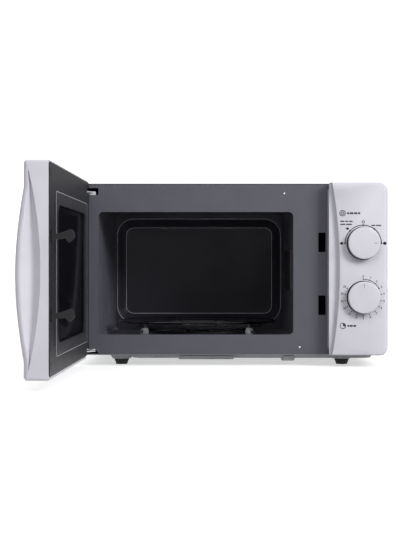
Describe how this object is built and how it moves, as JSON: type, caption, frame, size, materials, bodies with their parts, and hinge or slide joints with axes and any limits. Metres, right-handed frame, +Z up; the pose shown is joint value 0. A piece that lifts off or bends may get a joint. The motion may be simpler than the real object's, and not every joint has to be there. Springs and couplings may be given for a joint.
{
  "type": "microwave oven",
  "caption": "Countertop microwave oven with a side-hung door, glass turntable on a roller ring, power and timer dials, and its working parts inside.",
  "frame": {"origin": "middle of the footprint of the oven and its open door, on the surface that the feet stand on", "axes": "+Z up, -Y out of the oven's front, +X to its right as seen from the front"},
  "size_m": [0.471, 0.6602, 0.2645],
  "materials": {
    "white_shell": "satin moulded plastic",
    "frame_paint": "satin grey enamel",
    "cavity_enamel": "semi-gloss dark enamel",
    "cover_paint": "satin powder coat",
    "zinc_sheet": "zinc-plated sheet",
    "steel": "laminated and drawn steel",
    "rubber": "moulded",
    "door_paint": "satin dark enamel",
    "black_plastic": "fine texture",
    "black_glass": "tinted",
    "clear_glass": "pressed",
    "cream_plastic": "moulded",
    "copper": "enamelled copper wire",
    "mica": "mica sheet"
  },
  "bodies": {
    "cabinet": {"front_frame": "frame_paint", "cavity_wrap": "cavity_enamel", "cavity_back": "cavity_enamel", "outer_cover": "cover_paint", "rear_panel": "zinc_sheet", "base_plate": "zinc_sheet", "foot_front_left": "rubber", "foot_front_right": "rubber", "foot_rear_left": "rubber", "foot_rear_right": "rubber", "waveguide_cover": "mica", "waveguide": "zinc_sheet", "magnetron": "steel", "thermal_cutout": "black_plastic", "transformer_core": "steel", "transformer_secondary": "copper", "transformer_primary": "copper", "capacitor": "zinc_sheet", "capacitor_clamp": "zinc_sheet", "diode": "black_plastic", "fan_shroud": "black_plastic", "fan_motor": "steel", "filter_board": "cream_plastic", "lamp": "clear_glass", "lamp_housing": "cream_plastic", "cord_gland": "black_plastic", "turntable_motor": "zinc_sheet", "latch_housing": "black_plastic", "primary_switch": "black_plastic", "monitor_switch": "black_plastic", "secondary_switch": "black_plastic", "hinge_bracket_upper": "zinc_sheet", "hinge_bracket_lower": "zinc_sheet", "control_panel": "white_shell", "power_selector": "cream_plastic", "timer_unit": "cream_plastic", "timer_bell": "zinc_sheet"},
    "door": {"door_shell": "white_shell", "door_window": "black_glass", "door_plate": "door_paint", "choke_cover": "black_plastic", "inner_pane": "black_glass", "door_screen": "black_plastic", "latch_spring": "steel"},
    "latch": {"latch_bar": "black_plastic"},
    "power_dial": {"power_knob": "white_shell", "power_shaft": "zinc_sheet"},
    "timer_dial": {"timer_knob": "white_shell", "timer_shaft": "zinc_sheet"},
    "turntable": {"drive_coupler": "black_plastic", "glass_tray": "clear_glass"},
    "ring": {"roller_ring": "black_plastic"},
    "wheel_1": {"roller_1": "cream_plastic"},
    "wheel_2": {"roller_2": "cream_plastic"},
    "wheel_3": {"roller_3": "cream_plastic"},
    "fan": {"fan_blade": "black_plastic"},
    "primary_button": {"primary_plunger": "black_plastic"},
    "monitor_button": {"monitor_plunger": "black_plastic"},
    "secondary_button": {"secondary_plunger": "black_plastic"}
  },
  "joints": [
    {"name": "door_hinge", "type": "hinge", "parent": "cabinet", "child": "door", "pos_m": [-0.19646, 0.01748, 0.14], "axis": [0, 0, 1], "range_deg": [-4, 91]},
    {"name": "latch_slide", "type": "slide", "parent": "door", "child": "latch", "axis": [0, 0, 1], "range_m": [0, 0.004], "stiffness_N_per_m": 150, "springref_m": -0.01, "deforming": ["latch_spring"]},
    {"name": "power_turn", "type": "hinge", "parent": "cabinet", "child": "power_dial", "pos_m": [0.20004, -0.01162, 0.176], "axis": [0, 1, 0], "range_deg": [-180, 0]},
    {"name": "timer_turn", "type": "hinge", "parent": "cabinet", "child": "timer_dial", "pos_m": [0.20004, -0.01162, 0.0996], "axis": [0, 1, 0], "range_deg": [0, 300]},
    {"name": "turntable_spin", "type": "hinge", "parent": "cabinet", "child": "turntable", "pos_m": [-0.03646, 0.17038, 0.045], "axis": [0, 0, 1], "continuous": true},
    {"name": "ring_spin", "type": "hinge", "parent": "cabinet", "child": "ring", "pos_m": [-0.03646, 0.17038, 0.0441], "axis": [0, 0, 1], "continuous": true},
    {"name": "fan_spin", "type": "hinge", "parent": "cabinet", "child": "fan", "pos_m": [0.17154, 0.30038, 0.166], "axis": [0, 1, 0], "continuous": true},
    {"name": "wheel_1_spin", "type": "hinge", "parent": "ring", "child": "wheel_1", "pos_m": [-0.03646, 0.26238, 0.0441], "axis": [0, 1, 0], "continuous": true},
    {"name": "wheel_2_spin", "type": "hinge", "parent": "ring", "child": "wheel_2", "pos_m": [-0.11614, 0.12438, 0.0441], "axis": [-0.866, -0.5, 0], "continuous": true},
    {"name": "wheel_3_spin", "type": "hinge", "parent": "ring", "child": "wheel_3", "pos_m": [0.04321, 0.12438, 0.0441], "axis": [0.866, -0.5, 0], "continuous": true},
    {"name": "primary_press", "type": "slide", "parent": "cabinet", "child": "primary_button", "axis": [0, 1, 0], "range_m": [0, 0.0015], "stiffness_N_per_m": 200, "springref_m": -0.003},
    {"name": "monitor_press", "type": "slide", "parent": "cabinet", "child": "monitor_button", "axis": [0, 1, 0], "range_m": [0, 0.0015], "stiffness_N_per_m": 200, "springref_m": -0.003},
    {"name": "secondary_press", "type": "slide", "parent": "cabinet", "child": "secondary_button", "axis": [0, 1, 0], "range_m": [0, 0.0015], "stiffness_N_per_m": 200, "springref_m": -0.003}
  ],
  "couplings": [
    {"joint": "ring_spin", "follows": "turntable_spin", "ratio": 0.5},
    {"joint": "wheel_1_spin", "follows": "turntable_spin", "ratio": -7.4194},
    {"joint": "wheel_2_spin", "follows": "turntable_spin", "ratio": -7.4194},
    {"joint": "wheel_3_spin", "follows": "turntable_spin", "ratio": -7.4194}
  ]
}
